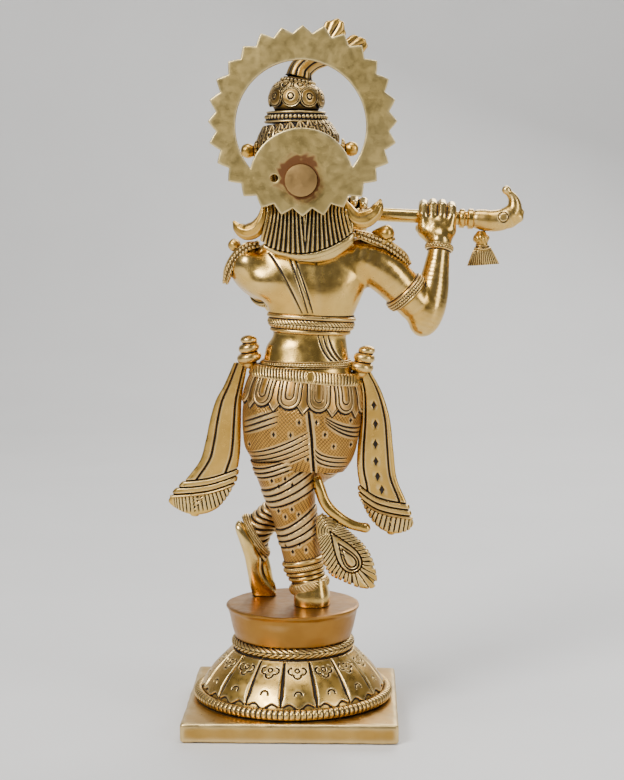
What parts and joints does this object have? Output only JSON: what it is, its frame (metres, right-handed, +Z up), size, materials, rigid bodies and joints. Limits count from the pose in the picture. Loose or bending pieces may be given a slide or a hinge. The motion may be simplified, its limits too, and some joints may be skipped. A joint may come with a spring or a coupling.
{
  "type": "flute player statuette",
  "caption": "Cast brass standing flute player on a square plate with lotus dome, a toothed halo that lifts off its stud and a flute that slides out.",
  "frame": {"origin": "centre of the underside of the square base plate, on the plane it stands on", "axes": "+Z up, the face looks along -Y, +X towards the figure's left hand side; the flute points towards -X"},
  "size_m": [0.1583, 0.094, 0.3089],
  "materials": {
    "polished_brass": "satin polished",
    "engraved_brass": "polished relief with black patina in the grooves",
    "halo_brass": "filed satin",
    "hair_brass": "ribbed relief with black patina",
    "base_brass": "satin, lightly pitted"
  },
  "bodies": {
    "statue": {"base_plate": "base_brass", "lotus_dome": "base_brass", "lotus_petals": "engraved_brass", "rim_beads": "engraved_brass", "braid_collar": "engraved_brass", "pedestal_drum": "base_brass", "standing_foot": "polished_brass", "standing_leg": "engraved_brass", "standing_anklets": "engraved_brass", "crossed_thigh": "engraved_brass", "crossed_shin": "engraved_brass", "crossed_foot": "polished_brass", "crossed_anklet": "engraved_brass", "hips": "engraved_brass", "front_pleats": "engraved_brass", "waist": "polished_brass", "chest": "polished_brass", "neck": "polished_brass", "head": "polished_brass", "hair": "hair_brass", "crown_cap": "engraved_brass", "crown_lower_beads": "engraved_brass", "crown_bulb": "engraved_brass", "crown_upper_beads": "engraved_brass", "crown_plume": "engraved_brass", "crown_feathers": "engraved_brass", "crown_knobs": "engraved_brass", "earrings": "engraved_brass", "necklace": "engraved_brass", "shoulder_curl_left": "engraved_brass", "shoulder_curl_right": "engraved_brass", "shoulder_beads": "engraved_brass", "epaulette_left": "engraved_brass", "epaulette_right": "engraved_brass", "upper_arm_left": "polished_brass", "upper_arm_right": "polished_brass", "armlet_left": "engraved_brass", "armlet_right": "engraved_brass", "forearm_left": "polished_brass", "forearm_right": "polished_brass", "bracelet_left": "engraved_brass", "bracelet_right": "engraved_brass", "hand_left": "polished_brass", "hand_right": "polished_brass", "chest_band": "engraved_brass", "bead_belt": "engraved_brass", "ribbed_belt": "engraved_brass", "belt_pendants": "engraved_brass", "knot_left": "engraved_brass", "knot_right": "engraved_brass", "sash_left": "engraved_brass", "sash_right": "engraved_brass", "sash_tail": "engraved_brass", "peacock_feather": "engraved_brass", "halo_stud": "halo_brass"},
    "halo": {"halo_ring": "halo_brass"},
    "flute": {"flute_tube": "polished_brass", "flute_rings": "engraved_brass", "flute_finial": "engraved_brass", "flute_tassel": "engraved_brass"}
  },
  "joints": [
    {"name": "halo_lift_off", "type": "slide", "parent": "statue", "child": "halo", "axis": [0, 1, 0], "range_m": [0, 0.012]},
    {"name": "flute_slide", "type": "slide", "parent": "statue", "child": "flute", "axis": [-0.9988, 0, -0.0489], "range_m": [0, 0.08]}
  ]
}
